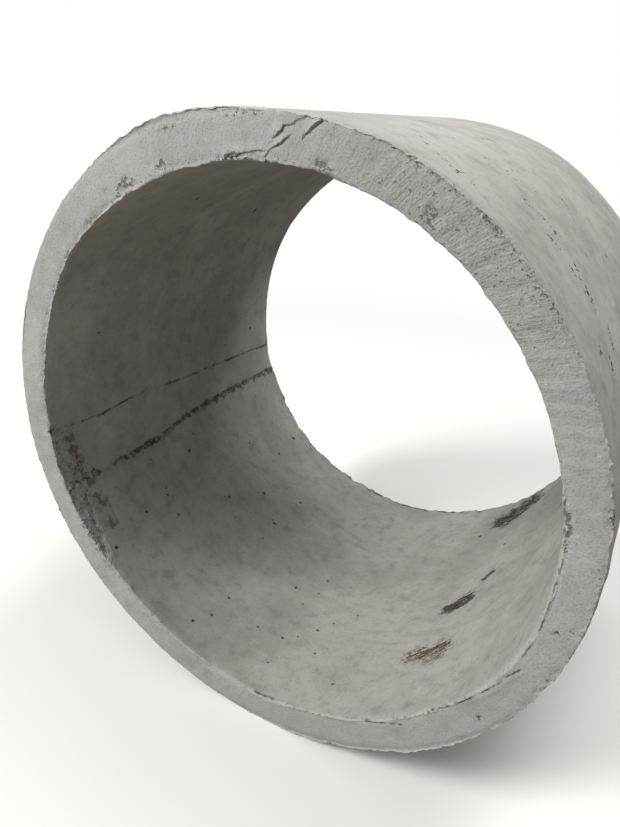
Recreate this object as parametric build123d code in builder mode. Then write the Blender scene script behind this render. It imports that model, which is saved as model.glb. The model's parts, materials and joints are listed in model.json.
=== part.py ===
from build123d import *
from math import asin, cos, degrees, radians, sin, sqrt
import os

# Concrete sewer pipe ring, cast upright in steel moulds and now lying on its side.
# One solid, in millimetres, +Z up. The bore runs along Y and the near end faces -Y.
# The origin is on the ground, under the middle of the ring.
# Ring angles count from the top of the ring, clockwise as seen from the near end.

# Ring
bore_diameter = 1200.0
wall = 80.0
ring_length = 1000.0

# Edges: the near end is the trowelled top of the casting, the far end stood on the pallet
near_bore_round = 9.0
near_outer_round = 4.0
far_outer_chamfer = 6.0
far_flare_depth = 4.0
far_flare_length = 26.0

# Mark of the key strip, the tapered bar that lets the inner mould fold inwards
key_angle = 254.4
key_width_near = 152.0
key_width_far = 92.0
key_recess = 2.0

# Seams beside the key strip, where mortar ran between the mould plates and was knocked off
upper_seam_width = 5.0
upper_seam_depth = 3.0
lower_seam_width = 12.0
lower_seam_depth = 5.0

# Seam of the inner mould's other joint, and the torn scars along it: each is a row of scoops
# from one ring angle and distance from the near end to another
joint_angle = 139.0
joint_seam_width = 3.0
joint_seam_depth = 1.5
scar_scoop_radius = 28.0
scar_depth = 3.5
scar_spacing = 22.0
joint_scars = [
    ((145.0, 218.0), (136.5, 248.0)),
    ((144.5, 410.0), (137.0, 446.0)),
    ((137.0, 518.0), (133.5, 538.0)),
    ((142.5, 855.0), (129.0, 950.0)),
]

# Arris broken at the near end of the key strip, where the strip was levered out
key_break_angle = 245.0
key_break_spread = 40.0
key_break_depth = 16.0
key_break_reach = 40.0

# Arris worn round by the trowel, low on the right
trowel_angle = 108.0
trowel_spread = 44.0
trowel_depth = 13.0
trowel_reach = 26.0

# Arris broken at the far end of the key strip
far_break_angle = 253.0
far_break_spread = 14.0
far_break_depth = 9.0
far_break_reach = 30.0

# Flake off the outer arris of the near end, beside the ground
flake_angle = 169.0
flake_spread = 7.0
flake_depth = 6.0
flake_reach = 14.0

# Chips knocked out of the arrises: ring angle and radius of each scoop
chip_bite = 0.35
near_bore_chips = [(11, 16.0), (14.5, 13.0), (79.5, 14.0), (281, 10.0), (318, 12.0), (330, 17.0), (341, 9.0)]
near_outer_chips = [(28, 8.0), (47, 9.0), (68.5, 15.0), (78, 12.0), (91, 14.0), (104, 11.0)]
far_bore_chips = [(219, 11.0), (227, 14.0), (236, 10.0), (249, 13.0), (258, 12.0), (263.5, 9.0)]

bore_radius = bore_diameter / 2
outer_radius = bore_radius + wall
near_end = -ring_length / 2
far_end = ring_length / 2
axis_height = outer_radius
overrun = 20.0

ring_axis = Axis((0, 0, axis_height), (0, 1, 0))


def ring_direction(angle):
    """Unit vector from the bore's axis towards a ring angle."""
    return Vector(sin(radians(angle)), 0, cos(radians(angle)))


def ring_point(angle, radius, y):
    """Point at a ring angle, at a radius from the bore's axis and a place along the ring."""
    return Vector(0, y, axis_height) + ring_direction(angle) * radius


def radial_plane(angle):
    """Plane through the bore's axis, with x along the ring and y towards a ring angle."""
    normal = Vector(0, 1, 0).cross(ring_direction(angle))
    return Plane(origin=(0, 0, axis_height), x_dir=(0, 1, 0), z_dir=normal)


def key_half_angle(width):
    """Half of the ring angle that a width of the key strip covers on the bore."""
    return degrees(asin(width / 2 / bore_radius))


def seam_bar(near_angle, far_angle, width, depth):
    """Round bar that cuts a seam into the bore, straight from one end to the other."""
    bar_radius = (width**2 / 4 + depth**2) / (2 * depth)
    bar_place = bore_radius + depth - bar_radius
    start = ring_point(near_angle, bar_place, near_end)
    run = ring_point(far_angle, bar_place, far_end) - start
    with BuildPart() as bar:
        with BuildSketch(Plane(origin=start - run.normalized() * overrun, z_dir=run)):
            Circle(bar_radius)
        extrude(amount=run.length + 2 * overrun)
    return bar.part


def wear_ring(edge_radius, end, angle, spread, depth, reach):
    """Ring of round section that wears an arris down at one ring angle, over a spread of degrees.

    It takes depth off the end face and reach off the wall beside it, and fades out to both sides.
    A tool that wears the bore's arris turns inside the bore, and the outer arris is worn from outside.
    """
    outwards = 1 if edge_radius == bore_radius else -1
    into_ring = 1 if end == near_end else -1
    slope = sqrt(depth**2 + reach**2)
    section_radius = 1.5 * slope
    bulge = sqrt(section_radius**2 - slope**2 / 4)
    section_along = reach / 2 - bulge * depth / slope
    section_across = depth / 2 - bulge * reach / slope
    deepest = edge_radius + outwards * depth
    ends_at = edge_radius * cos(radians(spread / 2))
    turning_radius = (deepest**2 - edge_radius**2) / (2 * (deepest - ends_at))
    turning_axis = Axis(ring_point(angle, turning_radius, 0), (0, 1, 0))
    with BuildPart() as ring:
        with BuildSketch(radial_plane(angle)):
            with Locations((end + into_ring * section_along, edge_radius + outwards * section_across)):
                Circle(section_radius)
        revolve(axis=turning_axis)
    return ring.part


def chip_balls(edge_radius, end, chips):
    """Balls that knock chips out of an arris, each sunk by a share of its radius past the corner."""
    outwards = 1 if edge_radius == bore_radius else -1
    into_ring = 1 if end == near_end else -1
    balls = []
    for angle, radius in chips:
        air_gap = radius * (1 - chip_bite) / sqrt(2)
        centre = ring_point(angle, edge_radius - outwards * air_gap, end - into_ring * air_gap)
        with BuildPart() as ball:
            with Locations(centre):
                Sphere(radius)
        balls.append(ball.part)
    return balls


def scar_scoops(start, finish):
    """Row of balls that tears a shallow scar into the bore, between two places on its wall."""
    (start_angle, start_place), (finish_angle, finish_place) = start, finish
    around = radians(finish_angle - start_angle) * bore_radius
    along = finish_place - start_place
    steps = max(1, round(sqrt(around**2 + along**2) / scar_spacing))
    with BuildPart() as scoops:
        for step in range(steps + 1):
            share = step / steps
            angle = start_angle + share * (finish_angle - start_angle)
            place = near_end + start_place + share * along
            with Locations(ring_point(angle, bore_radius + scar_depth - scar_scoop_radius, place)):
                Sphere(scar_scoop_radius)
    return scoops.part


# Key strip, a tapered bar whose face follows the bore
with BuildPart() as key_strip:
    key_direction = ring_direction(key_angle)
    with BuildSketch(Plane(origin=(0, 0, axis_height), x_dir=(0, 1, 0), z_dir=key_direction)):
        Polygon(
            (near_end - overrun, key_width_near / 2),
            (far_end + overrun, key_width_far / 2),
            (far_end + overrun, -key_width_far / 2),
            (near_end - overrun, -key_width_near / 2),
            align=None,
        )
    extrude(amount=outer_radius)
    with BuildSketch(Plane(origin=(0, near_end - overrun, axis_height), z_dir=(0, 1, 0))):
        Circle(bore_radius + key_recess)
    extrude(amount=ring_length + 2 * overrun, mode=Mode.INTERSECT)

# Seams of the inner mould
near_half_angle = key_half_angle(key_width_near)
far_half_angle = key_half_angle(key_width_far)
mould_seams = [
    seam_bar(key_angle + near_half_angle, key_angle + far_half_angle, upper_seam_width, upper_seam_depth),
    seam_bar(key_angle - near_half_angle, key_angle - far_half_angle, lower_seam_width, lower_seam_depth),
    seam_bar(joint_angle, joint_angle, joint_seam_width, joint_seam_depth),
]

# Worn and broken arrises
arris_wear = [
    wear_ring(bore_radius, near_end, key_break_angle, key_break_spread, key_break_depth, key_break_reach),
    wear_ring(bore_radius, near_end, trowel_angle, trowel_spread, trowel_depth, trowel_reach),
    wear_ring(bore_radius, far_end, far_break_angle, far_break_spread, far_break_depth, far_break_reach),
    wear_ring(outer_radius, near_end, flake_angle, flake_spread, flake_depth, flake_reach),
]

arris_chips = (
    chip_balls(bore_radius, near_end, near_bore_chips)
    + chip_balls(outer_radius, near_end, near_outer_chips)
    + chip_balls(bore_radius, far_end, far_bore_chips)
)

# Torn scars along the inner mould's other joint
torn_scars = [scar_scoops(start, finish) for start, finish in joint_scars]

# The pipe ring: its wall section turned about the bore's axis, then marked and worn
with BuildPart() as pipe:
    with BuildSketch(radial_plane(0)):
        with BuildLine():
            Polyline(
                (near_end, bore_radius),
                (far_end - far_flare_length, bore_radius),
                (far_end, bore_radius + far_flare_depth),
                (far_end, outer_radius - far_outer_chamfer),
                (far_end - far_outer_chamfer, outer_radius),
                (near_end, outer_radius),
                close=True,
            )
        make_face()
        # in the sketch, x runs along the ring and y is the distance from the bore's axis
        near_corners = vertices().group_by(Axis.X)[0].sort_by(Axis.Y)
        fillet(near_corners[0], near_bore_round)
        fillet(near_corners[-1], near_outer_round)
    revolve(axis=ring_axis)
    add(key_strip.part, mode=Mode.SUBTRACT)
    add(mould_seams, mode=Mode.SUBTRACT)
    add(torn_scars, mode=Mode.SUBTRACT)
    add(arris_wear, mode=Mode.SUBTRACT)
    add(arris_chips, mode=Mode.SUBTRACT)

pipe.part.label = "pipe"

os.makedirs("parts", exist_ok=True)
export_step(pipe.part, "parts/pipe.step")
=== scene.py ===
import itertools
import json
import math

import bmesh
import bpy
import numpy as np
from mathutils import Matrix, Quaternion, Vector


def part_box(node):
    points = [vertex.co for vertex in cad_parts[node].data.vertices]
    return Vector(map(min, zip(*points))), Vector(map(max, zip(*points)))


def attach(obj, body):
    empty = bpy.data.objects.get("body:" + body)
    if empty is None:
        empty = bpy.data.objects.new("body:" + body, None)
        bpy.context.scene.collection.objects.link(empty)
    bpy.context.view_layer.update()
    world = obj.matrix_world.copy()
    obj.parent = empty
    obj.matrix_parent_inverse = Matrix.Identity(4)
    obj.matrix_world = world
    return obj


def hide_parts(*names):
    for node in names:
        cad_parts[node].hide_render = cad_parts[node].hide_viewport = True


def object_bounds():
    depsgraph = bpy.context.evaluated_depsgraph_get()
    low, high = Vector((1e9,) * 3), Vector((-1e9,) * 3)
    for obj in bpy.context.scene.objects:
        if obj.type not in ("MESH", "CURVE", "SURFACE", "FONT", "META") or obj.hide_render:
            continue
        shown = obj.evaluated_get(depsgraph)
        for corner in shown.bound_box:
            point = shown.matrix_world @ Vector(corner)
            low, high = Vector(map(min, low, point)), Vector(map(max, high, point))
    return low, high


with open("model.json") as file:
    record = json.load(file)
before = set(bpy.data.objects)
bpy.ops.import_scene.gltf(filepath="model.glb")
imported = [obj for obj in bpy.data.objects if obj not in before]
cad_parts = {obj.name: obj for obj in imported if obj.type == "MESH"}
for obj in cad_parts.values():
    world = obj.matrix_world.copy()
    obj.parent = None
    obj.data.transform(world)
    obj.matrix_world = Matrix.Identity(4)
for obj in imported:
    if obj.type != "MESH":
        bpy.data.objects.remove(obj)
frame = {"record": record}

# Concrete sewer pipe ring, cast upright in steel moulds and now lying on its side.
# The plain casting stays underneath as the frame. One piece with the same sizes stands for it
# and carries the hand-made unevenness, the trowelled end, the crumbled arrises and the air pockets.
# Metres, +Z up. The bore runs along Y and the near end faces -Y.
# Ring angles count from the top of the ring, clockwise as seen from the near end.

bl_info = {
    "name": "Concrete Pipe Ring",
    "version": (1, 0, 0),
    "blender": (4, 5, 0),
    "location": "View3D > Sidebar > Concrete Pipe",
    "description": "Builds the worn concrete pipe ring, its concrete and its stage",
    "category": "Object",
}

MM = 0.001
# points nearer to each other than this count as one
TOUCHING = 0.01 * MM
# height of the photograph in pixels
PHOTO_HEIGHT = 827

casting_low, casting_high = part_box("pipe")
cad_low, cad_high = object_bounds()
bore_mount = frame["record"]["mounts"][0]
bore_radius = bore_mount["dims"]["r_mm"] * MM
outer_radius = (casting_high.x - casting_low.x) / 2
wall = outer_radius - bore_radius
axis_height = bore_mount["pos_m"][2]
near_end = casting_low.y
far_end = casting_high.y
ring_length = far_end - near_end

# How far the casting is out of round: ring angle, half spread in degrees, swell in mm.
# A positive swell makes the radius larger.
near_outer_swells = [
    (340, 22, 9), (24, 22, 4), (62, 26, -3), (96, 30, -5), (140, 26, 7), (168, 20, 8), (212, 26, -5),
    (292, 34, -8),
]
near_bore_swells = [
    (335, 36, -9), (290, 22, -6), (219, 22, -7), (148, 18, 3), (176, 16, 3), (36, 30, 4),
]
far_outer_swells = [
    (8, 20, -3), (41, 26, -6), (150, 40, -4), (230, 40, 4), (300, 40, -5),
]
far_bore_swells = [
    (126, 26, -7), (159, 22, -5), (193, 18, -4), (216, 20, 4), (242, 20, -4), (298, 34, 4),
]

# Arrises of the bore at both ends, worn back: ring angle, half spread in degrees, wear on the face
# and reach along the bore in mm
bore_arris_wear = [
    (247, 22, 9, 36), (109, 26, 8, 22), (88, 12, 5, 16), (12, 5, 6, 10), (80, 2.2, 7, 8),
    (330, 2.4, 7, 9), (341, 2.0, 5, 7), (318, 2.2, 5, 7), (281, 2.0, 5, 7),
]
far_arris_wear = [
    (253, 9, 8, 26), (219, 2.2, 7, 9), (227, 3.0, 9, 12), (236, 2.4, 6, 9), (263, 2.2, 5, 8),
    (198, 2.0, 4, 6), (170, 3.0, 4, 6), (301, 2.6, 5, 8),
]

# Seams of the inner mould: ring angle and distance from the near end in mm
upper_seam = [
    (262.1, 0), (260.9, 170), (261.6, 260), (261.5, 352), (260.4, 480), (259.2, 812), (258.4, 1000),
]
lower_seam = [
    (247.5, 0), (247.3, 120), (247.5, 370), (249.1, 450), (249.9, 610), (249.5, 1000),
]
joint_seam = [(139, 0), (139, 1000)]

# Torn scars where mortar stuck to the mould's other joint: half width in mm, how deep and dark and how
# red from 0 to 1, then ring angle and distance from the near end in mm
scars = [
    (38, 0.35, 0.95, [(144.4, 216), (142.6, 222), (139.6, 236)]),
    (23, 0.95, 0.3, [(143.4, 410), (141.0, 420), (138.4, 435)]),
    (14, 0.7, 0.2, [(136.4, 517), (134.2, 535)]),
    (54, 1.0, 0.1, [(140.4, 868), (138.4, 882), (133.5, 914), (131.6, 930)]),
]

# Direction in which the torn mortar of the scars is drawn out in streaks
torn_way = Vector((0.643, 0.525, 0.558))

# Mortar laps on the near face, drawn with the thick mortar on the left: height in mm, how far the mortar
# takes to thin out in mm, how dark the painted shadow line at its foot is from 0 to 1, then ring angle and
# radius in mm
laps = [
    (2.6, 45, 0.6, [
        (9.4, 688), (8.6, 684), (7.4, 680), (7.1, 674), (6.0, 669), (5.4, 662), (3.9, 657), (3.6, 650),
        (2.9, 643)]),
    (4.2, 13, 0.6, [
        (11.4, 690), (10.5, 685), (9.9, 681), (9.4, 672), (8.5, 664), (8.1, 656), (7.4, 650),
        (7.2, 645)]),
    (2.2, 12, 0.6, [(5.0, 644), (4.2, 636), (3.3, 628), (2.1, 620), (1.2, 610)]),
    (2.2, 18, 0.6, [(0.6, 616), (358.8, 614), (357.8, 611), (356.2, 609), (354.8, 604), (353.2, 602)]),
    (2.4, 22, 0.35, [(357.5, 674), (354.0, 677), (350.0, 678), (345.0, 674)]),
    (1.2, 10, 0.9, [
        (178, 605), (175, 606), (172, 602), (167, 599), (162, 597), (158, 601), (153, 602), (148, 607),
        (141, 617)]),
    (1.2, 10, 1.0, [
        (136.5, 596), (132, 601), (128, 604), (124, 608), (121, 609), (117, 613), (113, 615),
        (110, 623)]),
    (1.0, 9, 0.8, [(107, 611), (103, 613), (99, 609), (96, 608), (91, 606), (86, 608)]),
    (0.8, 12, 0.2, [(215, 620), (207, 612), (198, 609), (190, 612)]),
]

# Strokes of the brush on the near face: how far they go round for each metre outwards, and the ring angle
# from which they are counted. The seam of their pattern lies opposite, low on the left.
stroke_slant = 0.3
stroke_start = 30

# Pits torn out of the near face: ring angle, then radius, half length round the ring, half width
# and depth in mm
face_pits = [
    (124.4, 648, 7, 5, 4), (99.4, 637, 5, 4, 3), (68.6, 662, 16, 3, 4), (46.5, 640, 9, 3, 2.5),
    (39.5, 632, 7, 3, 2.5), (11.2, 612, 9, 8, 4), (13.2, 603, 7, 5, 4), (350.0, 640, 6, 3, 1.5),
    (232.0, 650, 8, 3, 2), (203.0, 655, 12, 2.5, 2), (291.0, 642, 7, 3, 2), (325.5, 622, 14, 12, 2.5),
    (337.5, 622, 8, 6, 2),
]

# Crumbly places of the near face: ring angle, then radius, half length round the ring and half width
# in mm, and how crumbly from 0 to 1
crumbly_places = [
    (330, 611, 24, 13, 1), (339.7, 610, 11, 9, 1), (317.8, 604, 16, 6, 1), (354.6, 605, 26, 6, 1),
    (11.2, 611, 17, 11, 1), (29.2, 626, 20, 14, 0.8), (77.5, 606, 16, 6, 1), (82, 609, 34, 8, 1),
    (78, 674, 20, 8, 1), (99.2, 636, 7, 6, 1), (124.5, 650, 9, 6, 1), (236, 606, 46, 9, 1),
    (308, 607, 12, 5, 1), (88, 671, 34, 9, 0.5), (98, 668, 36, 12, 0.5), (108, 671, 40, 9, 0.5),
    (343, 672, 60, 7, 0.5), (356, 671, 60, 8, 0.5),
]

# Broken arris at the strip's near end: how far it reaches along the bore in mm, by ring angle
broken_edge = [
    (224, 0), (228, 16), (233, 30), (238, 40), (243, 52), (248, 58), (259, 58), (262, 44), (264, 0),
]

# Dried red earth and iron stains: ring angle, distance from the near end and half width in mm
earth_spots = [
    (250.6, 60, 22), (253.6, 60, 15), (248.4, 66, 16), (145.0, 214, 24), (140.5, 236, 20),
]

# Dark damp smears in the bore: ring angle, distance from the near end and half width in mm
dark_smears = [
    (258.8, 58, 25), (256.0, 62, 25), (253.0, 66, 25), (240.6, 80, 46), (234.0, 74, 34), (246.0, 76, 30),
]

# Air pockets: ring angle, distance from the near end and width in mm
bore_pockets = [
    (199.4, 207, 6), (199.3, 128, 5), (201.6, 76, 6), (188.2, 182, 5), (181.1, 190, 6), (178.2, 217, 4),
    (174.8, 264, 6), (171.4, 183, 5), (180.0, 98, 4), (162.2, 100, 5), (187.7, 376, 6), (183.0, 332, 5),
    (181.5, 399, 4), (181.8, 461, 5), (172.3, 308, 5), (167.7, 361, 4), (232.3, 281, 5), (226.0, 276, 5),
    (231.7, 187, 6), (228.4, 45, 7), (239.7, 438, 7), (243.6, 481, 5), (146.2, 796, 7), (134.8, 685, 6),
    (323.0, 296, 8), (312.1, 668, 9), (266.6, 885, 7), (283.1, 172, 5), (221.3, 479, 7), (222.2, 465, 4),
    (215.6, 613, 7), (205.5, 705, 7), (205.7, 682, 4), (206.1, 548, 8), (207.4, 554, 4), (215.4, 443, 4),
    (222.7, 799, 6), (224.0, 919, 8), (231.4, 700, 5), (205.2, 465, 4), (243.2, 286, 4), (234.1, 288, 4),
]
outer_pockets = [
    (17.6, 192, 7), (20.0, 150, 7), (18.3, 349, 8), (13.1, 594, 6), (18.6, 530, 9), (19.2, 564, 8),
    (24.9, 330, 6), (27.2, 93, 12), (24.8, 107, 7), (30.1, 86, 6), (28.7, 350, 6), (34.5, 265, 7),
    (35.8, 254, 7), (37.0, 519, 7), (38.3, 512, 7), (38.6, 271, 7), (41.2, 272, 10), (41.7, 218, 9),
    (42.9, 224, 8), (46.8, 250, 10), (47.0, 215, 9), (48.7, 226, 7), (51.1, 225, 13), (52.2, 232, 8),
    (47.1, 375, 6), (49.7, 538, 6), (53.6, 216, 6), (59.6, 237, 8), (58.2, 131, 10), (61.2, 179, 10),
    (37.4, 268, 5), (39.0, 506, 6), (57.5, 256, 7), (26.7, 295, 5), (22.9, 124, 6), (14.8, 243, 5),
    (12.3, 400, 5), (30.7, 337, 6), (33.9, 377, 5), (28.6, 381, 6),
]

# Soft square lights: name, place and size in metres, power in watts
lamps = [
    ("key_light", (-4.8, -5.4, 5.6), 3.6, 930),
    ("side_light", (3.6, -1.2, 2.8), 2.5, 22),
    ("back_light", (1.0, 1.4, 5.0), 2.5, 190),
]


class PipeRingSizes(bpy.types.PropertyGroup):
    """Sizes of the casting's section and of its mesh"""

    bore_arris: bpy.props.FloatProperty(
        name="Bore arris", description="Radius of the trowelled arris at the near end of the bore",
        default=6 * MM, min=1 * MM, unit="LENGTH")
    outer_arris: bpy.props.FloatProperty(
        name="Outer arris", description="Radius of the near end's outer arris and of the far bore arris",
        default=4 * MM, min=1 * MM, unit="LENGTH")
    far_bevel: bpy.props.FloatProperty(
        name="Far bevel", description="Bevel of the outer arris of the far end",
        default=6 * MM, min=1 * MM, unit="LENGTH")
    rim_zone: bpy.props.FloatProperty(
        name="Rim zone", description="Length of wall beside each end that has a finer mesh",
        default=32 * MM, min=10 * MM, unit="LENGTH")
    steps: bpy.props.IntProperty(
        name="Steps", description="Faces round the ring before the rims are made finer",
        default=288, min=60)


class PipeWearSizes(bpy.types.PropertyGroup):
    """Depths of the unevenness and damage"""

    face_skin: bpy.props.FloatProperty(
        name="Face skin", description="Mean depth of the near face under its highest laps",
        default=3.2 * MM, unit="LENGTH")
    key_recess: bpy.props.FloatProperty(
        name="Key recess", description="Depth of the mark of the key strip in the bore",
        default=2.0 * MM, unit="LENGTH")
    seam_depth: bpy.props.FloatProperty(
        name="Seam depth", description="Depth of the lower seam beside the key strip",
        default=5.0 * MM, unit="LENGTH")
    scar_depth: bpy.props.FloatProperty(
        name="Scar depth", description="Depth of the torn scars in the bore",
        default=3.5 * MM, unit="LENGTH")
    crumb_depth: bpy.props.FloatProperty(
        name="Crumb depth", description="Depth of the crumbs lost from the arrises",
        default=7.0 * MM, unit="LENGTH")
    pocket_count: bpy.props.IntProperty(
        name="Hidden air pockets", description="Air pockets strewn over the outer wall that faces away",
        default=90, min=0)


class PipeConcreteColours(bpy.types.PropertyGroup):
    """Colours of the concrete, as sRGB hex values"""

    paste: bpy.props.StringProperty(
        name="Paste", description="Cement paste of the cast walls", default="a5a49d")
    paste_dark: bpy.props.StringProperty(
        name="Dark paste", description="Darker clouds in the paste", default="93928b")
    paste_light: bpy.props.StringProperty(
        name="Light paste", description="Pale bloom on the paste", default="b4b3ad")
    face: bpy.props.StringProperty(
        name="Trowelled face", description="Trowelled mortar of the near face", default="a6a8a6")
    soiled: bpy.props.StringProperty(
        name="Soiled paste", description="Thin film of dirt on the cast walls", default="74726e")
    sand: bpy.props.StringProperty(
        name="Sand", description="Sandy mortar of the face, dragged by the brush", default="94958e")
    weathered: bpy.props.StringProperty(
        name="Weathered", description="Grey-green weathered mortar of the broken arris", default="9a9e9a")
    # also the painted shade in the dents of the pits and in the air pockets
    dark_grit_and_shade: bpy.props.StringProperty(
        name="Dark grit", description="Dark grains of the sand, and dirt in the pits", default="55534e")
    earth: bpy.props.StringProperty(
        name="Earth", description="Red earth that has dried on", default="675036")
    # also the painted shade at the feet of the laps, in the chips and along the rim of the broken arris
    stain_and_shade: bpy.props.StringProperty(
        name="Scar", description="Stained mortar of the scars, seams and laps", default="28221d")


class PipeStageSizes(bpy.types.PropertyGroup):
    """Floor, room light and camera"""

    floor_radius: bpy.props.FloatProperty(
        name="Floor radius", description="Radius of the round floor", default=30.0, unit="LENGTH")
    room_light: bpy.props.FloatProperty(
        name="Room light", description="Strength of the even light from all sides", default=0.22, min=0)
    camera_place: bpy.props.FloatVectorProperty(
        name="Camera place", description="Where the photograph was taken from",
        default=(0.6386, -1.4733, 1.3674), subtype="TRANSLATION", unit="LENGTH")
    camera_aim: bpy.props.FloatVectorProperty(
        name="Camera aim", description="Point in the middle of the photograph",
        default=(-0.0359, -0.1907, 0.6890), subtype="TRANSLATION", unit="LENGTH")
    camera_roll: bpy.props.FloatProperty(
        name="Camera roll", description="How far the photograph is tilted",
        default=math.radians(3.65), subtype="ANGLE")
    focal_pixels: bpy.props.FloatProperty(
        name="Focal length", description="Focal length in pixels of the photograph", default=657.7)


def fade(share):
    """1 at 0, falling smoothly to 0 at 1 and beyond."""
    return 0.5 + 0.5 * np.cos(np.pi * np.clip(np.abs(share), 0, 1))


def bell(share):
    """1 at 0, falling away to almost 0 at 2."""
    return np.exp(-(share**2))


def rise(low, high, value):
    """0 below low, rising smoothly to 1 above high."""
    share = np.clip((value - low) / (high - low), 0, 1)
    return share * share * (3 - 2 * share)


def drop(low, high, value):
    """1 below low, falling smoothly to 0 above high."""
    return rise(-high, -low, -value)


def turn_between(angle, middle):
    """Signed degrees from middle to angle, the short way round."""
    return (angle - middle + 180) % 360 - 180


def lattice_noise(points, seed):
    """Smooth random values from -1 to 1 at points counted in lattice cells."""
    draw = np.random.default_rng(seed)
    order = draw.permutation(256)
    values = draw.uniform(-1, 1, 256)
    cells = np.floor(points).astype(int)
    share = points - cells
    share = share * share * (3 - 2 * share)
    total = np.zeros(len(points))
    for corner in itertools.product((0, 1), repeat=3):
        weight = np.prod(np.where(corner, share, 1 - share), axis=1)
        place = (cells + corner) & 255
        pick = order[(order[(order[place[:, 0]] + place[:, 1]) & 255] + place[:, 2]) & 255]
        total += weight * values[pick]
    return total


def grain(points, size, seed, octaves=1):
    """Noise about 0 with lumps up to about size across. Each octave is half as large and as strong."""
    total = np.zeros(len(points))
    for octave in range(octaves):
        total += lattice_noise(points / size * 2**octave, seed + octave) / 2**octave
    return total


class Places:
    """Where points lie on the ring: ring angle, radius and distance from the near end."""

    def __init__(self, points):
        self.points = points
        self.across = points[:, 0]
        self.up = points[:, 2] - axis_height
        self.angle = np.degrees(np.arctan2(self.across, self.up)) % 360
        self.radius = np.hypot(self.across, self.up)
        self.along = points[:, 1] - near_end

    def beside(self, middle, spread):
        """1 at a ring angle, falling smoothly to 0 at a spread of degrees to both sides of it."""
        return fade(turn_between(self.angle, middle) / spread)

    def swell(self, swells):
        """Sum of smooth swells round the ring, in metres."""
        total = np.zeros_like(self.angle)
        for middle, spread, height in swells:
            total += height * MM * self.beside(middle, spread)
        return total

    def from_arris(self, radius, end):
        """Distance from the arris at a radius, at the near or the far end."""
        return np.hypot(self.radius - radius, self.along - (end - near_end))

    def from_patch(self, angle, radius, half_length, half_width):
        """Distance from the middle of a patch on the near face, where 1 is its rim."""
        round_ring = np.radians(turn_between(self.angle, angle)) * radius / half_length
        return np.hypot(round_ring, (self.radius / MM - radius) / half_width)

    def from_line(self, path, on_face=False):
        """Distance from a line on the bore's wall or the near face, and the side of it.

        path has ring angles, and distances from the near end or radii in mm. The side is positive where
        the ring angle is larger.
        """
        bend, other = (outer_radius, self.radius) if on_face else (bore_radius, self.along)
        first = path[0][0]
        arc = np.radians(turn_between(self.angle, first)) * bend
        corners = [(math.radians(turn_between(angle, first)) * bend, place * MM) for angle, place in path]
        nearest = np.full_like(arc, np.inf)
        side = np.ones_like(arc)
        for (ax, ay), (bx, by) in zip(corners, corners[1:]):
            run_x, run_y = bx - ax, by - ay
            share = ((arc - ax) * run_x + (other - ay) * run_y) / (run_x**2 + run_y**2)
            share = np.clip(share, 0, 1)
            away_x, away_y = arc - ax - share * run_x, other - ay - share * run_y
            distance = np.hypot(away_x, away_y)
            closer = distance < nearest
            nearest = np.where(closer, distance, nearest)
            side = np.where(closer, np.sign(away_x * run_y - away_y * run_x), side)
        return nearest, side

    def covered(self, spots, ragged):
        """How far spots on the bore's wall cover each point from 0 to 1. ragged moves their rims."""
        share = np.zeros_like(self.angle)
        for angle, along, half_width in spots:
            round_bore = np.radians(turn_between(self.angle, angle)) * bore_radius
            away = np.hypot(round_bore, self.along - along * MM)
            share = np.maximum(share, fade((away + ragged) / (half_width * MM)))
        return share


def select_in_edit_mode(piece, kind, wanted):
    """Selects the vertices or edges whose points all pass a test of their place."""
    bpy.ops.mesh.select_mode(type=kind)
    bpy.ops.mesh.select_all(action="DESELECT")
    mesh = bmesh.from_edit_mesh(piece.data)
    if kind == "VERT":
        for vertex in mesh.verts:
            vertex.select_set(bool(wanted(vertex.co)))
    else:
        for edge in mesh.edges:
            edge.select_set(bool(wanted(edge.verts[0].co, edge.verts[1].co)))
    mesh.select_flush_mode()
    bmesh.update_edit_mesh(piece.data)


def cut_edges(piece, cuts, wanted):
    """Divides the edges that pass a test of their place."""
    select_in_edit_mode(piece, "EDGE", wanted)
    bpy.ops.mesh.subdivide(number_cuts=cuts)


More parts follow.
